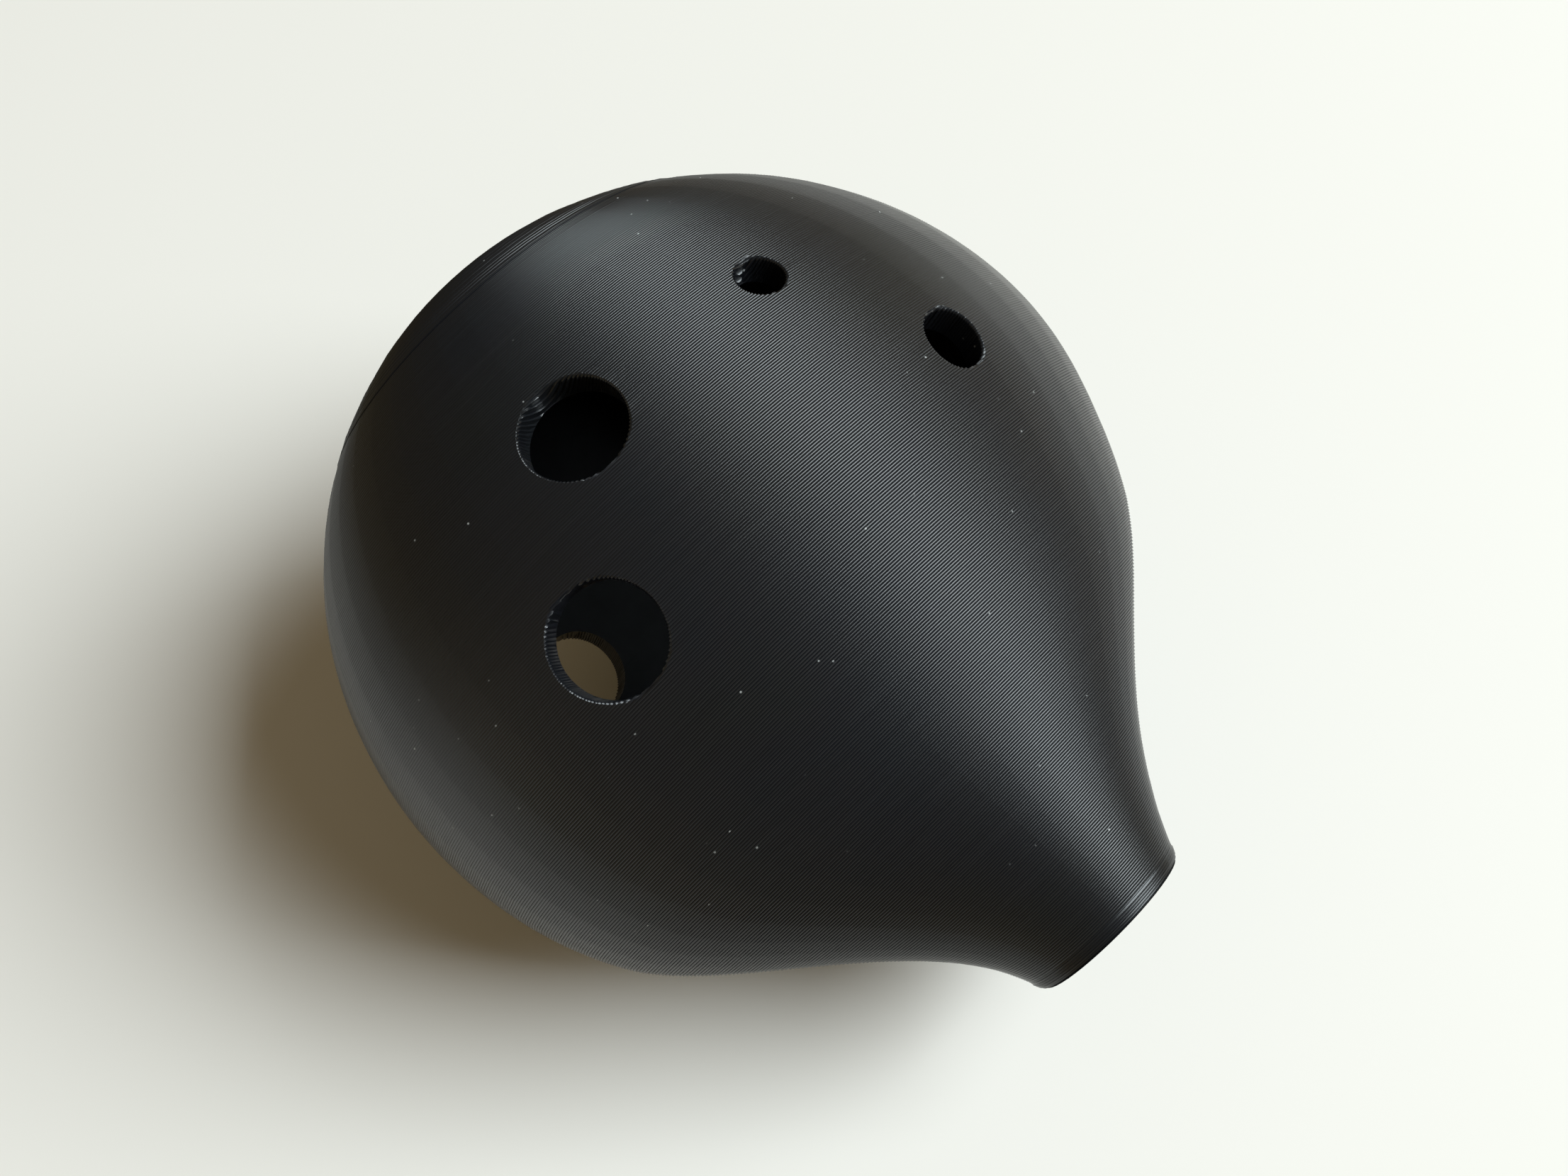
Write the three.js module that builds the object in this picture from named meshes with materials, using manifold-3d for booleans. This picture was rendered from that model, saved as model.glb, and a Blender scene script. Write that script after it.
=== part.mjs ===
// An ocarina: a hollow flattened vessel whose neck is a slanted windway, printed in plastic.
// Millimetres. In the instrument's own axes +Y runs to the mouthpiece tip and +Z to the finger holes.
// The finished group is tipped onto the small flat on its belly, with the flat's middle at the origin.
import * as THREE from 'three'
import { mergeVertices } from 'three/addons/utils/BufferGeometryUtils.js'
import Module from 'manifold-3d'

// Driving dimensions.
const BODY_RADIUS = 34 // plan view: a circle of this radius about the origin
const NECK_START_Y = 17 // the circle ends here and the neck's curve begins
const TIP_Y = 41
const TIP_HALF_WIDTH = 7.9
const TIP_EDGE_RADIUS = 1.2
const TIP_TAPER = 0.38 // how fast the neck still narrows at the tip
const NECK_ROOT_PULL = 7 // how long the neck's curve keeps to the circle's tangent
const NECK_TIP_PULL = 9.5 // and to the tip's taper
const BODY_FLATNESS = 0.73 // height over width
const NECK_UPPER_FLATNESS = 0.82
const NECK_LOWER_FLATNESS = 0.95 // the neck is deeper below its waist, for the windway
const WALL = 3 // at the waist; the flatness makes it 2.2 at the top and the belly
const CHAMBER_FRONT_Y = 21
const CAP_JOINT_Y = -27.5
const JOINT_GAP = 0.3 // between two separate pieces
const SPIGOT_HALF_WIDTH = 13.8
const SPIGOT_WALL = 1.6
const SPIGOT_REACH = 3
const SIDES = 48 // facets round the body
const RINGS = 34 // facets along the outer profile
const REST_RING = 21 // the facet, counted from the rear, at the middle of the flat that the belly rests on
const REST_DEPTH = 0.25 // how far the flat is cut into that facet

// Lines along the middle plane, as (y, z). The waist is where each section is widest, and the upper
// half rises from it. The lower half hangs from the waist, to a depth counted from the keel line.
const WAIST_LINE = [[-34, 0.9], [-2, 0.7], [13, -1.3], [24, -0.7], [35, 3.7], [41, 4.2]]
const KEEL_LINE = [[-34, 0.9], [0, 0.7], [20, 0.7], [28, 0.8], [35, 3.2], [41, 4.2]]

// Holes: place on the instrument, and diameter.
const FINGER_HOLES = [
  { x: -9.2, y: -12, diameter: 3.8 },
  { x: -17.6, y: 0.7, diameter: 5.2 },
  { x: 9.2, y: -12, diameter: 8.0 },
  { x: 17.6, y: 0.7, diameter: 8.4 },
]
const THUMB_HOLES = [
  { x: -13, y: -6, diameter: 8.3 },
  { x: 13, y: -6, diameter: 8.3 },
]

// The windway: a flat slot that slants from the tip face down to the window in the belly.
const WINDWAY_ENTRY = { y: TIP_Y, z: 1.5 }
const WINDWAY_SLOPE = 0.85
const WINDWAY_WIDTH = 8.4
const WINDWAY_HEIGHT = 1.4
const WINDWAY_LENGTH = 25.5
const BLOCK_WIDTH = 9.4
const BLOCK_HEIGHT = 3.4
const CUT_UP = 5 // from the windway's end to the edge of the labium
const LABIUM_LENGTH = 5
const LABIUM_BEVEL = THREE.MathUtils.degToRad(5) // how much steeper than the jet its outer face falls
const LABIUM_WIDTH = 10.4
const CUT_REACH = 12 // how far a cutter stands clear of the surface it cuts

const wasm = await Module()
wasm.setup()

// A closed three.js geometry as a solid for joining and cutting, and back.
function solid(geometry, matrix) {
  const bare = geometry.clone()
  bare.deleteAttribute('normal')
  bare.deleteAttribute('uv')
  if (matrix) bare.applyMatrix4(matrix)
  const merged = mergeVertices(bare, 1e-4)
  const vertProperties = new Float32Array(merged.attributes.position.array)
  const triVerts = new Uint32Array(merged.index.array)
  return new wasm.Manifold(new wasm.Mesh({ numProp: 3, vertProperties, triVerts }))
}

function geometryOf(manifold) {
  const mesh = manifold.getMesh()
  const geometry = new THREE.BufferGeometry()
  geometry.setAttribute('position', new THREE.BufferAttribute(mesh.vertProperties, 3))
  geometry.setIndex(new THREE.BufferAttribute(mesh.triVerts, 1))
  geometry.computeVertexNormals()
  return geometry
}

// A box between two corners, in the instrument's axes or in those of a matrix.
function box(low, high, matrix = new THREE.Matrix4()) {
  const size = high.map((value, i) => value - low[i])
  const middle = high.map((value, i) => (value + low[i]) / 2)
  const shift = new THREE.Matrix4().makeTranslation(...middle)
  return solid(new THREE.BoxGeometry(...size), matrix.clone().multiply(shift))
}

// The height of a line at y, on a smooth curve through the line's points.
function heightAlong(line) {
  const samples = new THREE.SplineCurve(line.map(([y, z]) => new THREE.Vector2(y, z))).getPoints(200)
  return (y) => {
    const next = samples.findIndex((point) => point.x >= y)
    if (next < 1) return y < 0 ? samples[0].y : samples.at(-1).y
    const [a, b] = [samples[next - 1], samples[next]]
    return THREE.MathUtils.mapLinear(y, a.x, b.x, a.y, b.y)
  }
}

const waistHeight = heightAlong(WAIST_LINE)
const keelHeight = heightAlong(KEEL_LINE)

// How far a section of this half width rises above its waist, and how far it hangs below it.
function riseOf(y, halfWidth) {
  const blend = THREE.MathUtils.smoothstep(y, 16, 30)
  return halfWidth * THREE.MathUtils.lerp(BODY_FLATNESS, NECK_UPPER_FLATNESS, blend)
}

function hangOf(y, halfWidth) {
  const blend = THREE.MathUtils.smoothstep(y, 24, 35)
  const depth = halfWidth * THREE.MathUtils.lerp(BODY_FLATNESS, NECK_LOWER_FLATNESS, blend)
  return depth + waistHeight(y) - keelHeight(y)
}

function sectionPoint(y, halfWidth, angle) {
  const height = Math.sin(angle) > 0 ? riseOf(y, halfWidth) : hangOf(y, halfWidth)
  return new THREE.Vector3(
    halfWidth * Math.cos(angle), y, waistHeight(y) + height * Math.sin(angle),
  )
}

// The outer half plan, from the rear pole round the body and down the neck to the tip's axis.
function outerPlan() {
  const start = Math.asin(NECK_START_Y / BODY_RADIUS)
  const slope = -Math.tan(start)
  const width = BODY_RADIUS * Math.cos(start)
  const path = new THREE.Path()
  path.absarc(0, 0, BODY_RADIUS, -Math.PI / 2, start, false)
  const endY = TIP_Y - TIP_EDGE_RADIUS
  path.bezierCurveTo(
    width + NECK_ROOT_PULL * slope, NECK_START_Y + NECK_ROOT_PULL,
    TIP_HALF_WIDTH + NECK_TIP_PULL * TIP_TAPER, endY - NECK_TIP_PULL,
    TIP_HALF_WIDTH, endY,
  )
  return path
}

// Stacks sections along y into a closed body. Each station is (half width, y).
function loft(stations) {
  const rings = stations.filter((station) => station.x > 1e-3)
  const ends = [stations[0].y, stations.at(-1).y]
  const points = rings.flatMap(({ x, y }) =>
    Array.from({ length: SIDES }, (_, i) => sectionPoint(y, x, ((i + 0.5) / SIDES) * 2 * Math.PI)),
  )
  const poles = ends.map((y) => new THREE.Vector3(0, y, waistHeight(y)))
  const index = []
  for (let ring = 0; ring + 1 < rings.length; ring++) {
    for (let i = 0; i < SIDES; i++) {
      const a = ring * SIDES + i
      const b = ring * SIDES + ((i + 1) % SIDES)
      index.push(a, a + SIDES, b, b, a + SIDES, b + SIDES)
    }
  }
  const [rear, front] = [points.length, points.length + 1]
  const last = (rings.length - 1) * SIDES
  for (let i = 0; i < SIDES; i++) {
    const next = (i + 1) % SIDES
    index.push(rear, i, next)
    index.push(front, last + next, last + i)
  }
  const geometry = new THREE.BufferGeometry().setFromPoints([...points, ...poles])
  geometry.setIndex(index)
  return geometry
}

const outerStations = [
  ...outerPlan().getSpacedPoints(RINGS),
  new THREE.Vector2(TIP_HALF_WIDTH - 0.35 * TIP_EDGE_RADIUS, TIP_Y - 0.35 * TIP_EDGE_RADIUS),
  new THREE.Vector2(TIP_HALF_WIDTH - TIP_EDGE_RADIUS, TIP_Y),
]

// The flat on the belly: its middle, and its slope along the instrument.
function restFlat() {
  const below = -Math.PI / 2 + Math.PI / SIDES
  const [rear, front] = [REST_RING, REST_RING + 1].map((ring) => {
    const { x, y } = outerStations[ring]
    return sectionPoint(y, x, below)
  })
  const slope = Math.atan2(front.z - rear.z, front.y - rear.y)
  const inward = new THREE.Vector3(0, -Math.sin(slope), Math.cos(slope))
  const middle = new THREE.Vector3(0, (rear.y + front.y) / 2, (rear.z + front.z) / 2)
  return { middle: middle.addScaledVector(inward, REST_DEPTH), slope }
}

const { middle, slope } = restFlat()
const table = box([-60, -60, -60], [60, 60, 0], new THREE.Matrix4().makeRotationX(slope).setPosition(middle))
const outerSolid = solid(loft(outerStations)).subtract(table)

// The chamber follows the body's circle inside the wall, between the cap's flat face and the neck.
function chamberSolid() {
  const radius = BODY_RADIUS - WALL
  const bend = Math.asin(0.5)
  const plan = new THREE.Path()
  plan.absarc(0, 0, radius, Math.asin(CAP_JOINT_Y / radius), bend, false)
  plan.bezierCurveTo(
    radius * 0.8, radius * 0.61,
    radius * 0.76, CHAMBER_FRONT_Y,
    radius * 0.62, CHAMBER_FRONT_Y,
  )
  return solid(loft(plan.getSpacedPoints(18)))
}

const chamber = chamberSolid()

// A drill normal to the outer surface at a hole's place, on the finger side or the thumb side.
function holeDrill({ x, y, diameter }, side) {
  const planRadius = Math.sqrt(BODY_RADIUS ** 2 - y ** 2)
  const angle = Math.acos(x / planRadius) * side
  const centre = sectionPoint(y, planRadius, angle)
  const height = side * Math.abs(centre.z - waistHeight(y))
  const normal = new THREE.Vector3(x, y, height / BODY_FLATNESS ** 2)
  const turn = new THREE.Quaternion().setFromUnitVectors(new THREE.Vector3(0, 1, 0), normal.normalize())
  const matrix = new THREE.Matrix4().compose(centre, turn, new THREE.Vector3(1, 1, 1))
  return solid(new THREE.CylinderGeometry(diameter / 2, diameter / 2, 14, 24), matrix)
}

// The windway's own axes: x across, y along the breath, z away from the belly, from the slot's entry.
function windwayMatrix() {
  const along = new THREE.Vector3(0, -1, -WINDWAY_SLOPE).normalize()
  const across = new THREE.Vector3(-1, 0, 0)
  const away = new THREE.Vector3().crossVectors(across, along)
  const matrix = new THREE.Matrix4().makeBasis(across, along, away)
  return matrix.setPosition(0, WINDWAY_ENTRY.y, WINDWAY_ENTRY.z)
}

const windway = windwayMatrix()
const slotTop = WINDWAY_HEIGHT / 2
const windowStart = WINDWAY_LENGTH
const labiumEdge = WINDWAY_LENGTH + CUT_UP

// Everything forward of, or behind, a plane across the instrument.
function slab(fromY, toY) {
  return box([-60, fromY, -60], [60, toY, 60])
}

// A box along the windway: half its width, then where it starts and ends along and away.
function windwayBox(half, [startY, endY], [lowZ, highZ]) {
  return box([-half, startY, lowZ], [half, endY, highZ], windway)
}

// Body shell: vessel and neck in one, open at the rear for the cap and at the tip for the block.
function bodyShell() {
  const half = WINDWAY_WIDTH / 2
  const seatEnd = labiumEdge + LABIUM_LENGTH + JOINT_GAP
  const socketTop = slotTop + BLOCK_HEIGHT + JOINT_GAP
  const cuts = [
    chamber,
    ...FINGER_HOLES.map((hole) => holeDrill(hole, 1)),
    ...THUMB_HOLES.map((hole) => holeDrill(hole, -1)),
    windwayBox(BLOCK_WIDTH / 2 + JOINT_GAP, [-CUT_REACH, windowStart + 1], [slotTop - 0.001, socketTop]),
    windwayBox(half, [-CUT_REACH, windowStart + 0.5], [-slotTop, slotTop]),
    windwayBox(half, [windowStart, labiumEdge], [-CUT_REACH, 4]),
    windwayBox(LABIUM_WIDTH / 2 + JOINT_GAP, [labiumEdge - 1, seatEnd], [-CUT_REACH, 6]),
  ]
  const blank = outerSolid.intersect(slab(CAP_JOINT_Y + JOINT_GAP / 2, 60))
  return cuts.reduce((shell, cut) => shell.subtract(cut), blank)
}

// Labium insert: the piece of belly wall behind the window, bevelled to the edge that splits the jet.
function labiumInsert() {
  const seat = windwayBox(LABIUM_WIDTH / 2, [labiumEdge, labiumEdge + LABIUM_LENGTH], [-CUT_REACH, 6])
  const bevel = new THREE.Matrix4().makeRotationX(-LABIUM_BEVEL).setPosition(0, labiumEdge, 0)
  const below = box([-10, -20, -20], [10, 20, 0], windway.clone().multiply(bevel))
  return outerSolid.subtract(chamber).intersect(seat).subtract(below)
}

// Fipple block: fills the neck's socket above the windway and makes the slot's upper face.
function fippleBlock() {
  const blank = windwayBox(BLOCK_WIDTH / 2, [-CUT_REACH, windowStart], [slotTop, slotTop + BLOCK_HEIGHT])
  return blank.intersect(slab(0, TIP_Y))
}

// End cap: the solid rear dome, with a hollow spigot that centres it in the shell.
function endCap() {
  const [outer, bore] = [SPIGOT_HALF_WIDTH, SPIGOT_HALF_WIDTH - SPIGOT_WALL].map((halfWidth) => {
    const ends = [CAP_JOINT_Y - 1, CAP_JOINT_Y + SPIGOT_REACH]
    return solid(loft(ends.map((y) => new THREE.Vector2(halfWidth, y))))
  })
  const dome = outerSolid.intersect(slab(-60, CAP_JOINT_Y - JOINT_GAP / 2))
  return dome.add(outer.subtract(bore))
}

function named(name, manifold, roughness) {
  const material = new THREE.MeshStandardMaterial({ color: 0x1b1b1d, roughness, metalness: 0 })
  const mesh = new THREE.Mesh(geometryOf(manifold), material)
  mesh.name = name
  return mesh
}

const instrument = new THREE.Group()
instrument.add(
  named('body_shell', bodyShell(), 0.45),
  named('end_cap', endCap(), 0.5),
  named('fipple_block', fippleBlock(), 0.45),
  named('labium_insert', labiumInsert(), 0.4),
)
instrument.rotation.x = -slope
instrument.position.copy(middle).applyAxisAngle(new THREE.Vector3(1, 0, 0), -slope).negate()

const group = new THREE.Group()
group.name = 'ocarina'
group.add(instrument)

export default group
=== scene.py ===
import math

import bmesh
import bpy
import numpy as np
from mathutils import Matrix, Vector


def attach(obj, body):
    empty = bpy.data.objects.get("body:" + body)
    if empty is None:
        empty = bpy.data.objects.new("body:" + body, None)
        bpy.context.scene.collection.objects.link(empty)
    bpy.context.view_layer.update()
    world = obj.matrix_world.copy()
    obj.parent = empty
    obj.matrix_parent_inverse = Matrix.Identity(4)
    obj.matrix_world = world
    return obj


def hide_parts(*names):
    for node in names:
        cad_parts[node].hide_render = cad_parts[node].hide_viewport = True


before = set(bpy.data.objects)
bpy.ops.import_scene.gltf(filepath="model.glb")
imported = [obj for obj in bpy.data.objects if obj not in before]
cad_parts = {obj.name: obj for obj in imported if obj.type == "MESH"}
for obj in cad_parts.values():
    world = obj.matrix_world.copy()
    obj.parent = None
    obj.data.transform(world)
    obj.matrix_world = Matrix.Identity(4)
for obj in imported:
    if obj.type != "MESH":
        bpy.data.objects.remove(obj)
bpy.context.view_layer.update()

# Dimensions in millimetres, in the instrument's own axes, which are those of the CAD model:
# +Y runs to the mouthpiece tip and +Z to the finger holes.
BODY_RADIUS = 34.0
NECK_START_Y = 17.0
TIP_Y = 41.0
TIP_HALF_WIDTH = 7.9
TIP_EDGE_RADIUS = 1.2
TIP_TAPER = 0.38
NECK_ROOT_PULL = 7.0
NECK_TIP_PULL = 9.5
BODY_FLATNESS = 0.73
NECK_UPPER_FLATNESS = 0.82
NECK_LOWER_FLATNESS = 0.95
WALL = 3.0
CHAMBER_FRONT_Y = 21.0
CAP_JOINT_Y = -27.5
SPIGOT_HALF_WIDTH = 13.8
SPIGOT_WALL = 1.6
SPIGOT_REACH = 3.0
SIDES = 48
RINGS = 34
POLE_LAYERS = 16  # layers at the rear pole with a section each
RING_EVERY = 3  # layers from one section to the next elsewhere
REST_RING = 21
REST_DEPTH = 0.25
WAIST_LINE = [(-34, 0.9), (-2, 0.7), (13, -1.3), (24, -0.7), (35, 3.7), (41, 4.2)]
KEEL_LINE = [(-34, 0.9), (0, 0.7), (20, 0.7), (28, 0.8), (35, 3.2), (41, 4.2)]

# Holes: x, y, diameter, and +1 for the finger side or -1 for the thumb side.
HOLES = [
    (-9.2, -12.0, 3.8, 1),
    (-17.6, 0.7, 5.2, 1),
    (9.2, -12.0, 8.0, 1),
    (17.6, 0.7, 8.4, 1),
    (-13.0, -6.0, 8.3, -1),
    (13.0, -6.0, 8.3, -1),
]
RIM_ROUNDING = 0.35

WINDWAY_ENTRY = (41.0, 1.5)
WINDWAY_SLOPE = 0.85
WINDWAY_WIDTH = 8.4
WINDWAY_HEIGHT = 1.4
WINDWAY_LENGTH = 25.5
BLOCK_WIDTH = 9.4
BLOCK_HEIGHT = 3.4
CUT_UP = 5.0
LABIUM_LENGTH = 5.0
LABIUM_BEVEL = math.radians(5)
LABIUM_WIDTH = 10.4
PIECE_GAP = 0.04  # between two printed pieces that are pushed together
CUT_REACH = 12.0

# The printed layers lie across the long axis.
LAYER = 0.2
GROOVE_DEPTH = 0.041
SHOULDER_DEPTH = 0.0175
SHOULDER_AT = 0.16  # as a share of the layer's thickness
SHOULDER_TILT = math.radians(27)  # how far the shading normals lean at a layer's shoulder
GROOVE_TILT = math.radians(55)  # and at least how far at its groove
CAP_PROUD = 0.06
STEP_LIMIT = 0.35  # the most that a layer moves to make the terraces of a slope
LAYERS_DRAWN = 1200  # layer offsets drawn, counted from the middle one at y = 0
REAR_LAYERS = 490  # those before this one are at the rear, where the print is rougher
REAR_JITTER = 4
UNEVEN_LAYERS = 60
SHARP_ANGLE = 40  # degrees across an edge
FACET_ANGLE = 3
FACET_SHARE = 0.14  # how much of the facets' edges still shows in the shading
RING_SHARE = 0.25  # and how much of them is left in the outline along the instrument

OUTER, INNER, CUT = 0, 1, 2  # material places: layered outside, chamber, layered cut walls

rng = np.random.RandomState(11)


# ---------------------------------------------------------------- the shape of the instrument

def height_along(line):
    """A height at y, on a Catmull-Rom curve through the line's points."""
    p = np.array(line, float)
    n = len(p)
    out = []
    for t in np.linspace(0, n - 1, 201):
        i = min(int(t), n - 2)
        w = t - i
        p0, p1, p2, p3 = p[max(i - 1, 0)], p[i], p[i + 1], p[min(i + 2, n - 1)]
        v0, v1 = (p2 - p0) / 2, (p3 - p1) / 2
        out.append(
            (2 * p1 - 2 * p2 + v0 + v1) * w**3
            + (-3 * p1 + 3 * p2 - 2 * v0 - v1) * w**2
            + v0 * w
            + p1
        )
    out = np.array(out)
    return lambda y: np.interp(y, out[:, 0], out[:, 1])


waist = height_along(WAIST_LINE)
keel = height_along(KEEL_LINE)


def smoothstep(x, low, high):
    t = np.clip((np.asarray(x, float) - low) / (high - low), 0, 1)
    return t * t * (3 - 2 * t)


def rise(y, w):
    blend = smoothstep(y, 16, 30)
    return w * (BODY_FLATNESS + (NECK_UPPER_FLATNESS - BODY_FLATNESS) * blend)


def hang(y, w):
    blend = smoothstep(y, 24, 35)
    flat = BODY_FLATNESS + (NECK_LOWER_FLATNESS - BODY_FLATNESS) * blend
    return w * flat + waist(y) - keel(y)


def ring(y, w):
    """The corners of one section, going round from +X towards +Z."""
    angle = (np.arange(SIDES) + 0.5) / SIDES * 2 * math.pi
    height = np.where(np.sin(angle) > 0, rise(y, w), hang(y, w))
    x = w * np.cos(angle)
    z = waist(y) + height * np.sin(angle)
    return np.stack([x, np.full(SIDES, float(y)), z], 1)


def spaced(points, count):
    """count + 1 points evenly spaced along a polyline."""
    points = np.array(points)
    run = np.r_[0, np.cumsum(np.linalg.norm(np.diff(points, axis=0), axis=1))]
    at = np.linspace(0, run[-1], count + 1)
    return np.stack([np.interp(at, run, points[:, i]) for i in (0, 1)], 1)


def bezier(p0, p1, p2, p3, count=600):
    t = np.linspace(0, 1, count)[:, None]
    p0, p1, p2, p3 = (np.array(p, float) for p in (p0, p1, p2, p3))
    return (1 - t) ** 3 * p0 + 3 * (1 - t) ** 2 * t * p1 + 3 * (1 - t) * t**2 * p2 + t**3 * p3


def arc(radius, start, end, count=1500):
    a = np.linspace(start, end, count)
    return np.stack([radius * np.cos(a), radius * np.sin(a)], 1)


def plan_curve():
    """The outer half plan as a fine polyline, from the rear pole to where the tip's edge starts."""
    start = math.asin(NECK_START_Y / BODY_RADIUS)
    slope = -math.tan(start)
    width = BODY_RADIUS * math.cos(start)
    end_y = TIP_Y - TIP_EDGE_RADIUS
    body = arc(BODY_RADIUS, -math.pi / 2, start)
    neck = bezier(
        (width, NECK_START_Y),
        (width + NECK_ROOT_PULL * slope, NECK_START_Y + NECK_ROOT_PULL),
        (TIP_HALF_WIDTH + NECK_TIP_PULL * TIP_TAPER, end_y - NECK_TIP_PULL),
        (TIP_HALF_WIDTH, end_y),
    )
    return np.concatenate([body, neck[1:]])


def tip_edge():
    a = np.linspace(0, math.pi / 2, 6)[1:]
    w = TIP_HALF_WIDTH - TIP_EDGE_RADIUS * (1 - np.cos(a))
    y = TIP_Y - TIP_EDGE_RADIUS + TIP_EDGE_RADIUS * np.sin(a)
    return np.stack([w, y], 1)


plan = plan_curve()
cad_rings = spaced(plan, RINGS)  # the CAD model's own facets


def outer_rings():
    """Sections at the edges of layers. They follow the smooth plan, with a trace of the facets in it."""
    first = round(plan[0, 1] / LAYER)
    last = round(plan[-1, 1] / LAYER)
    near_pole = np.arange(first, first + POLE_LAYERS)
    y = np.r_[near_pole, np.arange(near_pole[-1] + RING_EVERY, last, RING_EVERY), last] * LAYER
    smooth = np.interp(y, plan[:, 1], plan[:, 0])
    faceted = np.interp(y, cad_rings[:, 1], cad_rings[:, 0])
    return np.stack([smooth + (faceted - smooth) * RING_SHARE, y], 1)


outer_stations = np.concatenate([outer_rings(), tip_edge()])


def chamber_stations():
    radius = BODY_RADIUS - WALL
    bend = math.asin(0.5)
    body = arc(radius, math.asin(CAP_JOINT_Y / radius), bend)
    front = bezier(
        body[-1],
        (radius * 0.8, radius * 0.61),
        (radius * 0.76, CHAMBER_FRONT_Y),
        (radius * 0.62, CHAMBER_FRONT_Y),
    )
    return spaced(np.concatenate([body, front[1:]]), 18)


def inside(point):
    """Whether a point is inside the smooth outer surface."""
    x, y, z = point
    w = np.interp(y, outer_stations[:, 1], outer_stations[:, 0])
    v = z - waist(y)
    h = rise(y, w) if v > 0 else hang(y, w)
    return (x / w) ** 2 + (v / h) ** 2 < 1


def outline_level(points):
    """Less than 1 inside the smooth outer surface, 1 on it and more outside it."""
    x, y, z = points.T
    w = np.interp(y, outer_stations[:, 1], outer_stations[:, 0])
    v = z - waist(y)
    h = np.where(v > 0, rise(y, w), hang(y, w))
    return (x / w) ** 2 + (v / h) ** 2


def outward(points, reach=0.25):
    """The smooth outer surface's normals at points near it."""
    out = np.zeros_like(points)
    for axis in range(3):
        ahead, behind = points.copy(), points.copy()
        limit = outer_stations[-1, 1] - 1e-3
        ahead[:, axis] += reach
        behind[:, axis] -= reach
        for moved in (ahead, behind):
            moved[:, 1] = np.clip(moved[:, 1], -BODY_RADIUS + 0.05, limit)
        width = np.maximum(ahead[:, axis] - behind[:, axis], 1e-6)
        out[:, axis] = (outline_level(ahead) - outline_level(behind)) / width
    return out / np.maximum(np.linalg.norm(out, axis=1), 1e-9)[:, None]


def rest_flat():
    """The middle and the slope of the flat on the belly."""
    below = -math.pi / 2 + math.pi / SIDES
    pair = []
    for w, y in cad_rings[[REST_RING, REST_RING + 1]]:
        pair.append((y, waist(y) + hang(y, w) * math.sin(below)))
    (y0, z0), (y1, z1) = pair
    slope = math.atan2(z1 - z0, y1 - y0)
    inward = Vector((0, -math.sin(slope), math.cos(slope)))
    return Vector((0, (y0 + y1) / 2, (z0 + z1) / 2)) + inward * REST_DEPTH, slope


REST_MIDDLE, REST_SLOPE = rest_flat()

# Tips the instrument onto that flat, with the flat's middle at the origin, in metres.
TILT = Matrix.Scale(0.001, 4) @ Matrix.Rotation(-REST_SLOPE, 4, "X") @ Matrix.Translation(-REST_MIDDLE)


# ---------------------------------------------------------------- coarse solids

def solid(name, points, faces, place):
    mesh = bpy.data.meshes.new(name)
    mesh.from_pydata([tuple(p) for p in points], [], faces)
    for _ in range(3):
        mesh.materials.append(None)
    mesh.polygons.foreach_set("material_index", [place] * len(mesh.polygons))
    bm = bmesh.new()
    bm.from_mesh(mesh)
    bmesh.ops.recalc_face_normals(bm, faces=bm.faces)
    bm.to_mesh(mesh)
    bm.free()
    return mesh


def stack(rings):
    """The side faces of a stack of rings that have the same number of points."""
    count = len(rings[0])
    faces = []
    for k in range(len(rings) - 1):
        for i in range(count):
            a, b = k * count + i, k * count + (i + 1) % count
            faces.append((a, b, b + count, a + count))
    return faces


def loft(name, stations, place):
    kept = [s for s in stations if s[0] > 1e-3]
    rings = [ring(y, w) for w, y in kept]
    points = np.concatenate(rings)
    faces = stack(rings)
    ends = [(0, stations[0][1]), ((len(rings) - 1) * SIDES, stations[-1][1])]
    poles = np.array([(0, y, waist(y)) for _, y in ends])
    for k, (first, _) in enumerate(ends):
        for i in range(SIDES):
            faces.append((first + i, first + (i + 1) % SIDES, len(points) + k))
    return solid(name, np.concatenate([points, poles]), faces, place)


def block(name, low, high, place, matrix=Matrix.Identity(4)):
    points = [(x, y, z) for x in (low[0], high[0]) for y in (low[1], high[1]) for z in (low[2], high[2])]
    points = [matrix @ Vector(p) for p in points]
    faces = [(0, 1, 3, 2), (4, 6, 7, 5), (0, 4, 5, 1), (2, 3, 7, 6), (0, 2, 6, 4), (1, 5, 7, 3)]
    return solid(name, points, faces, place)


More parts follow.
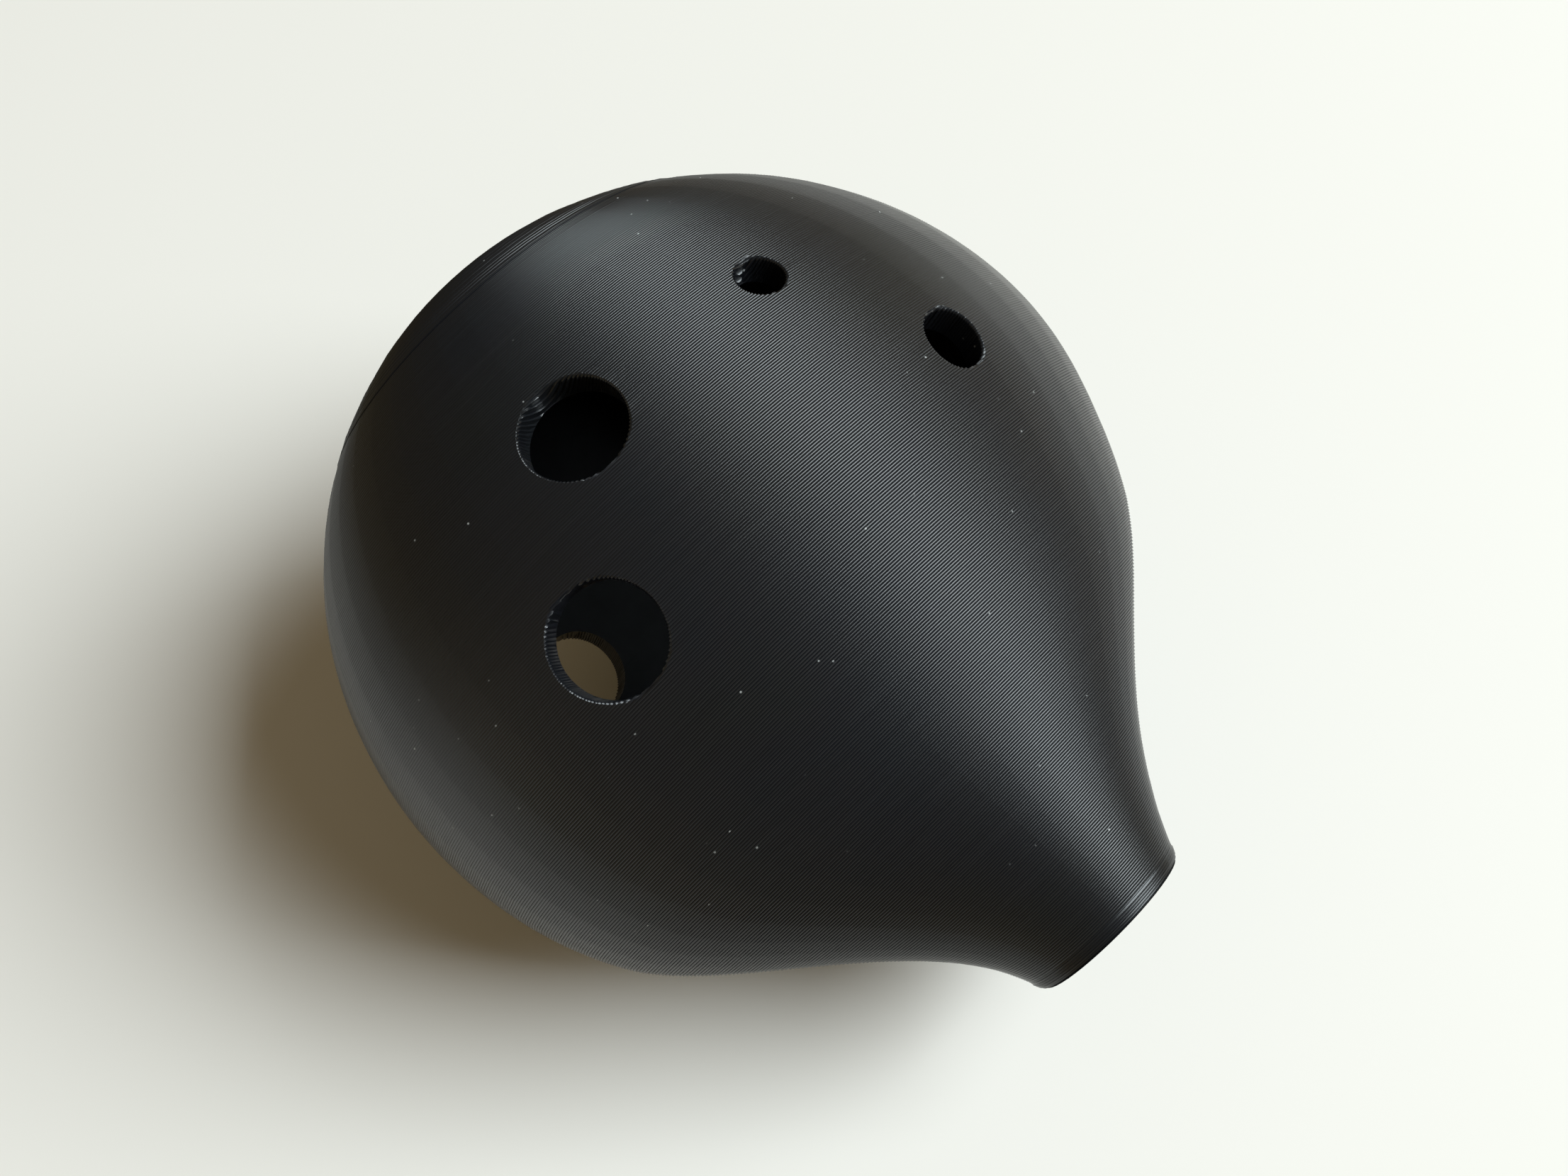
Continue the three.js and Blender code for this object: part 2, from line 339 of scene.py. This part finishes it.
def drill(name, x, y, diameter, side):
    """A cutter for one hole, normal to the surface, with a flare that rounds the rim."""
    w = math.sqrt(BODY_RADIUS**2 - y**2)
    sine = side * math.sqrt(1 - (x / w) ** 2)
    z = waist(y) + (rise(y, w) if side > 0 else hang(y, w)) * sine
    normal = Vector((x, y, w * BODY_FLATNESS * sine / BODY_FLATNESS**2)).normalized()
    centre = Vector((x, y, z))
    across = normal.orthogonal().normalized()
    other = normal.cross(across)
    radius = diameter / 2
    count = 40 if diameter > 6 else 28
    r = RIM_ROUNDING
    profile = [(-9.0, radius, False)]
    for k in range(6):
        a = k / 5 * math.pi / 2 * 0.93
        profile.append((-r + r * math.sin(a), radius + r * (1 - math.cos(a)), True))
    profile.append((1.2, radius + r * 4, True))
    rings = []
    for depth, radial, follows in profile:
        loop = []
        for i in range(count):
            t = i / count * 2 * math.pi
            out = across * math.cos(t) + other * math.sin(t)
            height = 0.0
            if follows:
                low, high = -4.0, 2.0
                for _ in range(22):
                    mid = (low + high) / 2
                    if inside(centre + out * radial + normal * mid):
                        low = mid
                    else:
                        high = mid
                height = low
            loop.append(centre + out * radial + normal * (height + depth))
        rings.append(loop)
    points = [p for loop in rings for p in loop]
    faces = stack(rings)
    faces.append(tuple(range(count)))
    faces.append(tuple(range(len(points) - count, len(points))))
    return solid(name, points, faces, CUT)


def windway_matrix():
    along = Vector((0, -1, -WINDWAY_SLOPE)).normalized()
    across = Vector((-1, 0, 0))
    away = across.cross(along)
    m = Matrix((across, along, away)).transposed().to_4x4()
    m.translation = (0, *WINDWAY_ENTRY)
    return m


WINDWAY = windway_matrix()


def windway_box(name, half, along, away):
    return block(name, (-half, along[0], away[0]), (half, along[1], away[1]), CUT, WINDWAY)


def carve(mesh, cuts, operation="DIFFERENCE"):
    """The mesh with each of the cuts taken away from it, or only what it shares with them."""
    whole = bpy.data.objects.new("work", mesh)
    bpy.context.scene.collection.objects.link(whole)
    tools = []
    for cut in cuts:
        tool = bpy.data.objects.new("tool", cut)
        bpy.context.scene.collection.objects.link(tool)
        tools.append(tool)
        modifier = whole.modifiers.new("cut", "BOOLEAN")
        modifier.operation = operation
        modifier.solver = "EXACT"
        modifier.material_mode = "INDEX"
        modifier.object = tool
    bpy.context.view_layer.update()
    result = bpy.data.meshes.new_from_object(whole.evaluated_get(bpy.context.evaluated_depsgraph_get()))
    for o in [whole, *tools]:
        bpy.data.objects.remove(o)
    return result


# ---------------------------------------------------------------- printed layers

def layer_rows(low, high):
    """The levels of y between low and high where the layered surface has a row of points."""
    rows = []
    first = int(math.ceil(low / LAYER - 1e-6))
    last = int(math.floor(high / LAYER + 1e-6))
    for k in range(first - 1, last + 1):
        for share in (0, SHOULDER_AT, 1 - SHOULDER_AT):
            y = (k + share) * LAYER
            if low + 0.004 < y < high - 0.004:
                rows.append(y)
    return rows


def split_by_rows(points, faces, places, rows):
    """Cuts every face of a layered kind at each row, so that neighbours share the new points."""
    points = [tuple(p) for p in points]
    rows = np.array(rows)
    cuts = {}

    def cut(a, b, level):
        key = (a, b) if a < b else (b, a)
        if key not in cuts:
            pa, pb = points[a], points[b]
            t = (level - pa[1]) / (pb[1] - pa[1])
            cuts[key] = len(points)
            points.append((pa[0] + (pb[0] - pa[0]) * t, level, pa[2] + (pb[2] - pa[2]) * t))
        return cuts[key]

    out, out_places, kept = [], [], []
    for face, place in zip(faces, places):
        ys = [points[i][1] for i in face]
        low, high = min(ys), max(ys)
        if place == INNER or high - low < 1e-6:
            kept.append((face, place))
            continue
        rest = list(face)
        for level in rows[np.searchsorted(rows, low + 1e-7): np.searchsorted(rows, high - 1e-7)]:
            below, above = [], []
            for k in range(len(rest)):
                a, b = rest[k], rest[(k + 1) % len(rest)]
                ya, yb = points[a][1], points[b][1]
                if ya <= level:
                    below.append(a)
                if ya >= level:
                    above.append(a)
                if (ya < level < yb) or (yb < level < ya):
                    m = cut(a, b, level)
                    below.append(m)
                    above.append(m)
            if len(below) > 2:
                out.append(below)
                out_places.append(place)
            rest = above
        if len(rest) > 2:
            out.append(rest)
            out_places.append(place)

    def chain(a, b):
        m = cuts.get((a, b) if a < b else (b, a))
        return [a] if m is None else chain(a, m) + chain(m, b)

    for face, place in kept:
        loop = []
        for k in range(len(face)):
            loop += chain(face[k], face[(k + 1) % len(face)])
        out.append(loop)
        out_places.append(place)
    return points, out, out_places


def plane_faces(mesh):
    """Turns every face that isn't a convex quad or a triangle into triangles."""
    bm = bmesh.new()
    bm.from_mesh(mesh)
    bmesh.ops.remove_doubles(bm, verts=bm.verts, dist=1e-5)
    bmesh.ops.dissolve_degenerate(bm, edges=bm.edges, dist=1e-5)
    rough = [f for f in bm.faces if len(f.verts) > 4 or any(not l.is_convex for l in f.loops)]
    bmesh.ops.triangulate(bm, faces=rough)
    bm.to_mesh(mesh)
    bm.free()


def printed(name, mesh, flat_ends, proud=0.0, jitter=0.0015):
    """The finished piece: the coarse mesh cut into layers, and each layer given its rounded edge."""
    plane_faces(mesh)
    co = np.array([v.co for v in mesh.vertices]).reshape(-1, 3)
    edge_y = np.round(co[:, 1] / LAYER) * LAYER
    co[:, 1] = np.where(np.abs(co[:, 1] - edge_y) < 5e-5, edge_y, co[:, 1])
    faces = [tuple(p.vertices) for p in mesh.polygons]
    places = [p.material_index for p in mesh.polygons]
    rows = layer_rows(co[:, 1].min(), co[:, 1].max())
    points, faces, places = split_by_rows(co, faces, places, rows)
    fine = bpy.data.meshes.new(name)
    fine.from_pydata(points, [], faces)
    fine.polygons.foreach_set("material_index", places)
    points = np.array(points)

    normals = np.zeros(len(points) * 3, np.float32)
    fine.vertex_normals.foreach_get("vector", normals)
    normals = normals.reshape(-1, 3).astype(float)
    outside = used_by(faces, places, {OUTER}, len(points))
    outside &= points[:, 1] < TIP_Y - TIP_EDGE_RADIUS - LAYER
    normals[outside] = outward(points[outside])
    flat = np.hypot(normals[:, 0], normals[:, 2])
    out = normals * (1, 0, 1) / np.maximum(flat, 1e-6)[:, None]
    slope = -normals[:, 1] / np.maximum(flat, 0.05)

    y = points[:, 1]
    index = np.floor(y / LAYER + 1e-6)
    near = edge_share(y)
    groove = near < 0.02
    counted = np.arange(LAYERS_DRAWN)
    spread = np.where(counted < REAR_LAYERS, REAR_JITTER * jitter, jitter)
    wobble = rng.normal(0, 1, LAYERS_DRAWN) * spread
    uneven = rng.randint(0, LAYERS_DRAWN, UNEVEN_LAYERS)
    wobble[uneven] += rng.normal(0, jitter * 3, UNEVEN_LAYERS)
    per_layer = wobble[(index + LAYERS_DRAWN // 2).astype(int) % LAYERS_DRAWN]
    inset = np.where(near < SHOULDER_AT + 0.01, SHOULDER_DEPTH, 0.0)
    inset = np.where(groove, GROOVE_DEPTH, inset)
    step = np.where(groove, -LAYER / 2 * np.abs(slope), ((index + 0.5) * LAYER - y) * slope)
    step = np.clip(step, -STEP_LIMIT, STEP_LIMIT)
    shift = np.where(groove, 0.0, per_layer) - inset + step + proud
    touched = used_by(faces, places, {OUTER, CUT}, len(points))
    touched &= ~used_by(faces, places, {INNER}, len(points))
    for end in flat_ends:
        touched &= (np.abs(y - end) > 1e-3) | outside
    shift = np.where(touched, shift * smoothstep(flat, 0.02, 0.12), 0.0)
    points += out * shift[:, None]

    fine.vertices.foreach_set("co", points.ravel())
    fine.update()
    shade(fine, points, outside & (flat > 0.12), out, slope)
    fine.transform(TILT)
    piece = bpy.data.objects.new(name, fine)
    bpy.context.scene.collection.objects.link(piece)
    return piece


def used_by(faces, places, kinds, count):
    """Which of the points belong to a face of one of these kinds."""
    used = np.zeros(count, bool)
    for face, place in zip(faces, places):
        if place in kinds:
            used[list(face)] = True
    return used


def edge_share(y):
    """How far y is from the nearer edge of its layer, as a share of the layer's thickness."""
    share = y / LAYER - np.floor(y / LAYER + 1e-6)
    return np.abs(np.minimum(share, 1 - share))


def edge_angles(mesh):
    """The angle in degrees across each edge, and 180 at an edge without two faces."""
    edge_of = np.zeros(len(mesh.loops), int)
    mesh.loops.foreach_get("edge_index", edge_of)
    totals = np.zeros(len(mesh.polygons), int)
    mesh.polygons.foreach_get("loop_total", totals)
    face_of = np.repeat(np.arange(len(totals)), totals)
    normals = np.zeros(len(totals) * 3, np.float32)
    mesh.polygon_normals.foreach_get("vector", normals)
    normals = normals.reshape(-1, 3)
    order = np.argsort(edge_of, kind="stable")
    edges, faces = edge_of[order], face_of[order]
    first = np.searchsorted(edges, np.arange(len(mesh.edges)))
    second = np.minimum(first + 1, len(edges) - 1)
    cosine = (normals[faces[first]] * normals[faces[second]]).sum(1)
    angle = np.degrees(np.arccos(np.clip(cosine, -1, 1)))
    return np.where(edges[second] == np.arange(len(mesh.edges)), angle, 180.0)


def corner_normals(mesh, sharp):
    """The normals at the faces' corners when these edges are sharp."""
    layer = mesh.attributes.get("sharp_edge") or mesh.attributes.new("sharp_edge", "BOOLEAN", "EDGE")
    layer.data.foreach_set("value", sharp)
    mesh.update()
    normals = np.zeros(len(mesh.loops) * 3, np.float32)
    mesh.corner_normals.foreach_get("vector", normals)
    return normals.reshape(-1, 3)


def bead_normals(mesh, points, beaded, out, slope):
    """The normals of the rounded layers at each corner, and which corners they are for."""
    corner = np.zeros(len(mesh.loops), int)
    mesh.loops.foreach_get("vertex_index", corner)
    starts = np.zeros(len(mesh.polygons), int)
    totals = np.zeros(len(mesh.polygons), int)
    places = np.zeros(len(mesh.polygons), int)
    mesh.polygons.foreach_get("loop_start", starts)
    mesh.polygons.foreach_get("loop_total", totals)
    mesh.polygons.foreach_get("material_index", places)
    y = points[corner, 1]
    middle = np.add.reduceat(y, starts) / totals
    layer_middle = np.repeat((np.floor(middle / LAYER) + 0.5) * LAYER, totals)
    side = np.sign(y - layer_middle)

    tread = np.where(slope[corner] * side < 0, np.abs(slope[corner]) * LAYER, 0.0)
    flank = np.arctan2(GROOVE_DEPTH - SHOULDER_DEPTH + tread, SHOULDER_AT * LAYER)
    near = edge_share(y)
    on_side = np.clip((0.5 - near) / (0.5 - SHOULDER_AT), 0, 1) * SHOULDER_TILT
    at_groove = np.maximum(flank, GROOVE_TILT)
    on_flank = SHOULDER_TILT + (at_groove - SHOULDER_TILT) * (1 - near / SHOULDER_AT)
    tilt = np.where(near < SHOULDER_AT, on_flank, on_side) * side
    normals = out[corner] * np.cos(tilt)[:, None]
    normals[:, 1] = np.sin(tilt)
    return normals, beaded[corner] & (np.repeat(places, totals) == OUTER)


def shade(mesh, points, beaded, out, slope):
    """Rounded layers with sharp grooves, softly broken between the facets of the body."""
    mesh.polygons.foreach_set("use_smooth", np.ones(len(mesh.polygons), bool))
    ends = np.zeros(len(mesh.edges) * 2, int)
    mesh.edges.foreach_get("vertices", ends)
    ends = ends.reshape(-1, 2)
    runs_along = np.abs(points[ends[:, 0], 1] - points[ends[:, 1], 1]) > 1e-4
    angle = edge_angles(mesh)
    faceted = corner_normals(mesh, (angle > SHARP_ANGLE) | (runs_along & (angle > FACET_ANGLE)))
    soft = corner_normals(mesh, angle > SHARP_ANGLE)
    beads, chosen = bead_normals(mesh, points, beaded, out, slope)
    mixed = np.where(chosen[:, None], beads, soft) + (faceted - soft) * FACET_SHARE
    mixed /= np.maximum(np.linalg.norm(mixed, axis=1), 1e-9)[:, None]
    mesh.normals_split_custom_set(mixed)


# ---------------------------------------------------------------- the pieces

def under_table():
    plane = Matrix.Translation(REST_MIDDLE) @ Matrix.Rotation(REST_SLOPE, 4, "X")
    return block("table", (-60, -60, -60), (60, 60, 0), CUT, plane)


slot_top = WINDWAY_HEIGHT / 2
labium_edge = WINDWAY_LENGTH + CUT_UP


def make_body_shell():
    half = WINDWAY_WIDTH / 2
    cuts = [
        under_table(),
        block("behind", (-60, -60, -60), (60, CAP_JOINT_Y + PIECE_GAP / 2, 60), CUT),
        loft("chamber", chamber_stations(), INNER),
    ]
    cuts += [drill("drill", *hole) for hole in HOLES]
    cuts += [
        windway_box(
            "socket", BLOCK_WIDTH / 2 + PIECE_GAP, (-CUT_REACH, WINDWAY_LENGTH + 1),
            (slot_top - 0.001, slot_top + BLOCK_HEIGHT + PIECE_GAP),
        ),
        windway_box("slot", half, (-CUT_REACH, WINDWAY_LENGTH + 0.5), (-slot_top, slot_top)),
        windway_box("window", half, (WINDWAY_LENGTH, labium_edge), (-CUT_REACH, 4)),
        windway_box(
            "seat", LABIUM_WIDTH / 2 + PIECE_GAP,
            (labium_edge - 1, labium_edge + LABIUM_LENGTH + PIECE_GAP), (-CUT_REACH, 6),
        ),
    ]
    return carve(loft("outer", outer_stations, OUTER), cuts)


def spigot_tube(half_width, extra):
    ends = (CAP_JOINT_Y - 1 - extra, CAP_JOINT_Y + SPIGOT_REACH + extra)
    return loft("spigot", [(half_width, y) for y in ends], INNER)


def make_end_cap():
    """The solid rear dome, with a hollow spigot that centres it in the shell."""
    tube = spigot_tube(SPIGOT_HALF_WIDTH, 0)
    bore = spigot_tube(SPIGOT_HALF_WIDTH - SPIGOT_WALL, 1)
    front = block("front", (-60, CAP_JOINT_Y - PIECE_GAP / 2, -60), (60, 60, 60), INNER)
    dome = carve(loft("outer", outer_stations, OUTER), [front])
    return carve(dome, [carve(tube, [bore])], "UNION")


def make_labium():
    """The belly wall behind the window, bevelled to the edge that splits the breath."""
    chamber = loft("chamber", chamber_stations(), INNER)
    shell = carve(loft("outer", outer_stations, OUTER), [under_table(), chamber])
    seat = windway_box(
        "seat", LABIUM_WIDTH / 2, (labium_edge, labium_edge + LABIUM_LENGTH), (-CUT_REACH, 6),
    )
    bevel = Matrix.Translation((0, labium_edge, 0)) @ Matrix.Rotation(-LABIUM_BEVEL, 4, "X")
    below = block("below", (-10, -20, -20), (10, 20, 0), CUT, WINDWAY @ bevel)
    return carve(carve(shell, [seat], "INTERSECT"), [below])


def make_block():
    blank = windway_box(
        "blank", BLOCK_WIDTH / 2, (-CUT_REACH, WINDWAY_LENGTH), (slot_top, slot_top + BLOCK_HEIGHT),
    )
    return carve(blank, [block("front", (-60, TIP_Y - 0.1, -60), (60, 80, 60), CUT)])


# ---------------------------------------------------------------- materials

def material(name):
    m = bpy.data.materials.new(name)
    m.use_nodes = True
    m.node_tree.nodes.clear()
    return m, m.node_tree.nodes, m.node_tree.links


def ramp(nodes, links, source, stops):
    node = nodes.new("ShaderNodeValToRGB")
    elements = node.color_ramp.elements
    while len(elements) < len(stops):
        elements.new(0.5)
    for element, (at, value) in zip(elements, stops):
        element.position = at
        element.color = (*value, 1)
    links.new(source, node.inputs["Fac"])
    return node


def black_plastic(name, roughness):
    """Black printed plastic: each layer a little different in tone, with scattered dust specks."""
    m, nodes, links = material(name)
    shader = nodes.new("ShaderNodeBsdfPrincipled")
    out = nodes.new("ShaderNodeOutputMaterial")
    links.new(shader.outputs["BSDF"], out.inputs["Surface"])
    shader.inputs["IOR"].default_value = 1.5
    place = nodes.new("ShaderNodeTexCoord")

    turned = nodes.new("ShaderNodeMapping")
    turned.inputs["Rotation"].default_value = (REST_SLOPE, 0, 0)
    links.new(place.outputs["Object"], turned.inputs["Vector"])

    beads = nodes.new("ShaderNodeMapping")
    beads.inputs["Scale"].default_value = (90, 5200, 90)
    links.new(turned.outputs["Vector"], beads.inputs["Vector"])
    streaks = nodes.new("ShaderNodeTexNoise")
    streaks.inputs["Scale"].default_value = 1.0
    streaks.inputs["Detail"].default_value = 2.0
    links.new(beads.outputs["Vector"], streaks.inputs["Vector"])

    clouds = nodes.new("ShaderNodeTexNoise")
    clouds.inputs["Scale"].default_value = 70.0
    clouds.inputs["Detail"].default_value = 3.0
    links.new(place.outputs["Object"], clouds.inputs["Vector"])

    tone = ramp(nodes, links, streaks.outputs["Fac"], [
        (0.3, (0.0066, 0.0071, 0.0094)),
        (0.55, (0.0074, 0.0079, 0.0102)),
        (0.75, (0.0084, 0.0088, 0.0110)),
    ])
    patch = ramp(nodes, links, clouds.outputs["Fac"], [
        (0.35, (0.84, 0.95, 1.0)), (0.5, (1.0, 1.0, 1.0)), (0.65, (1.0, 1.04, 0.92)),
    ])
    body = nodes.new("ShaderNodeMix")
    body.data_type = "RGBA"
    body.blend_type = "MULTIPLY"
    body.inputs["Factor"].default_value = 1.0
    links.new(tone.outputs["Color"], body.inputs["A"])
    links.new(patch.outputs["Color"], body.inputs["B"])

    specks = nodes.new("ShaderNodeTexVoronoi")
    specks.inputs["Scale"].default_value = 1300.0
    links.new(place.outputs["Object"], specks.inputs["Vector"])
    dot = ramp(nodes, links, specks.outputs["Distance"], [(0.08, (1, 1, 1)), (0.14, (0, 0, 0))])
    chosen = nodes.new("ShaderNodeSeparateColor")
    links.new(specks.outputs["Color"], chosen.inputs["Color"])
    rare = ramp(nodes, links, chosen.outputs["Red"], [(0.955, (0, 0, 0)), (0.98, (1, 1, 1))])
    both = nodes.new("ShaderNodeMath")
    both.operation = "MULTIPLY"
    links.new(dot.outputs["Color"], both.inputs[0])
    links.new(rare.outputs["Color"], both.inputs[1])
    dusty = nodes.new("ShaderNodeMix")
    dusty.data_type = "RGBA"
    dusty.inputs["B"].default_value = (0.34, 0.35, 0.35, 1)
    links.new(both.outputs["Value"], dusty.inputs["Factor"])
    links.new(body.outputs["Result"], dusty.inputs["A"])
    links.new(dusty.outputs["Result"], shader.inputs["Base Color"])

    gloss = nodes.new("ShaderNodeMapRange")
    gloss.inputs["From Min"].default_value = 0.25
    gloss.inputs["From Max"].default_value = 0.75
    gloss.inputs["To Min"].default_value = roughness - 0.02
    gloss.inputs["To Max"].default_value = roughness + 0.02
    links.new(streaks.outputs["Fac"], gloss.inputs["Value"])
    links.new(gloss.outputs["Result"], shader.inputs["Roughness"])

    grain = nodes.new("ShaderNodeTexNoise")
    grain.inputs["Scale"].default_value = 9000.0
    grain.inputs["Detail"].default_value = 2.0
    links.new(place.outputs["Object"], grain.inputs["Vector"])
    bump = nodes.new("ShaderNodeBump")
    bump.inputs["Strength"].default_value = 0.12
    bump.inputs["Distance"].default_value = 0.00002
    links.new(grain.outputs["Fac"], bump.inputs["Height"])
    links.new(bump.outputs["Normal"], shader.inputs["Normal"])
    return m


def chamber_plastic():
    """The dull, dark wall of the chamber, where the layers were printed over air, with a tone a little
    lighter than the shell's: painted light that brightens the chamber where it shows through the holes.
    """
    m, nodes, links = material("chamber_wall_painted_light")
    shader = nodes.new("ShaderNodeBsdfPrincipled")
    out = nodes.new("ShaderNodeOutputMaterial")
    links.new(shader.outputs["BSDF"], out.inputs["Surface"])
    shader.inputs["Roughness"].default_value = 0.5
    shader.inputs["Specular IOR Level"].default_value = 0.4
    place = nodes.new("ShaderNodeTexCoord")
    clouds = nodes.new("ShaderNodeTexNoise")
    clouds.inputs["Scale"].default_value = 400.0
    clouds.inputs["Detail"].default_value = 3.0
    links.new(place.outputs["Object"], clouds.inputs["Vector"])
    # painted light: this tone is lighter than the shell plastic's and brightens the chamber seen through
    # the holes
    tone = ramp(nodes, links, clouds.outputs["Fac"], [
        (0.35, (0.012, 0.012, 0.015)), (0.65, (0.018, 0.018, 0.022)),
    ])
    links.new(tone.outputs["Color"], shader.inputs["Base Color"])
    return m


def table_top():
    m, nodes, links = material("table_top")
    shader = nodes.new("ShaderNodeBsdfPrincipled")
    out = nodes.new("ShaderNodeOutputMaterial")
    links.new(shader.outputs["BSDF"], out.inputs["Surface"])
    shader.inputs["Base Color"].default_value = (0.88, 0.84, 0.79, 1)
    shader.inputs["Roughness"].default_value = 0.6
    shader.inputs["Specular IOR Level"].default_value = 0.25
    return m


# ---------------------------------------------------------------- build

shell_plastic = black_plastic("printed_shell", 0.31)
cap_plastic = black_plastic("printed_cap", 0.35)
insert_plastic = black_plastic("printed_insert", 0.31)
chamber_wall_painted_light = chamber_plastic()

PIECES = [
    ("shell_print", make_body_shell, "body_shell", "printed_shell", shell_plastic,
     dict(flat_ends=(CAP_JOINT_Y + PIECE_GAP / 2, TIP_Y))),
    ("cap_print", make_end_cap, "end_cap", "printed_cap", cap_plastic,
     dict(flat_ends=(CAP_JOINT_Y - PIECE_GAP / 2,), proud=CAP_PROUD, jitter=0.008)),
    ("block_print", make_block, "fipple_block", "printed_insert", insert_plastic,
     dict(flat_ends=(TIP_Y - 0.1,))),
    ("labium_print", make_labium, "labium_insert", "printed_insert", insert_plastic, dict(flat_ends=())),
]
for piece_name, make, node, slot_name, plastic, options in PIECES:
    piece = printed(piece_name, make(), **options)
    for surface in (plastic, chamber_wall_painted_light, plastic):
        piece.data.materials.append(surface)
    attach(piece, "root")
    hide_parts(node)

# Floor.
floor_mesh = bpy.data.meshes.new("floor")
floor_mesh.from_pydata([(-3, -3, 0), (3, -3, 0), (3, 3, 0), (-3, 3, 0)], [], [(0, 1, 2, 3)])
floor = bpy.data.objects.new("floor", floor_mesh)
floor_mesh.materials.append(table_top())
bpy.context.scene.collection.objects.link(floor)


# ---------------------------------------------------------------- light and camera

def area(name, direction, distance, size, power, colour):
    aim = Vector((0, 0, 0.02))
    data = bpy.data.lights.new(name, "AREA")
    data.shape = "RECTANGLE"
    data.size, data.size_y = size
    data.energy = power
    data.color = colour
    lamp = bpy.data.objects.new(name, data)
    lamp.location = aim + Vector(direction).normalized() * distance
    lamp.rotation_euler = (aim - lamp.location).to_track_quat("-Z", "Y").to_euler()
    bpy.context.scene.collection.objects.link(lamp)


area("window_light", (-0.542, 0.4545, 0.707), 2.0, (1.4, 1.4), 65, (0.86, 0.96, 1.0))

world = bpy.data.worlds.new("room")
world.use_nodes = True
background = world.node_tree.nodes["Background"]
sky_place = world.node_tree.nodes.new("ShaderNodeTexCoord")
sky_height = world.node_tree.nodes.new("ShaderNodeSeparateXYZ")
world.node_tree.links.new(sky_place.outputs["Generated"], sky_height.inputs["Vector"])
sky = ramp(world.node_tree.nodes, world.node_tree.links, sky_height.outputs["Z"], [
    (0.0, (0.36, 0.28, 0.14)), (0.45, (0.23, 0.18, 0.10)), (0.95, (0.085, 0.075, 0.06)),
])
world.node_tree.links.new(sky.outputs["Color"], background.inputs["Color"])
bpy.context.scene.world = world

camera_data = bpy.data.cameras.new("camera")
camera_data.sensor_width = 36.0
camera_data.lens = 35.84
camera_data.clip_start = 0.005
camera_data.clip_end = 20
camera = bpy.data.objects.new("camera", camera_data)
look = Vector((-0.313, -0.350, -0.8835)).normalized()
right = Vector((-0.705, 0.708, -0.031))
right = (right - look * right.dot(look)).normalized()
up = right.cross(look)
facing = Matrix((right, up, -look)).transposed().to_4x4()
facing.translation = (0.0398, 0.0440, 0.13975)
camera.matrix_world = facing
bpy.context.scene.collection.objects.link(camera)
bpy.context.scene.camera = camera
bpy.context.scene.view_settings.view_transform = "Standard"

bpy.context.view_layer.update()
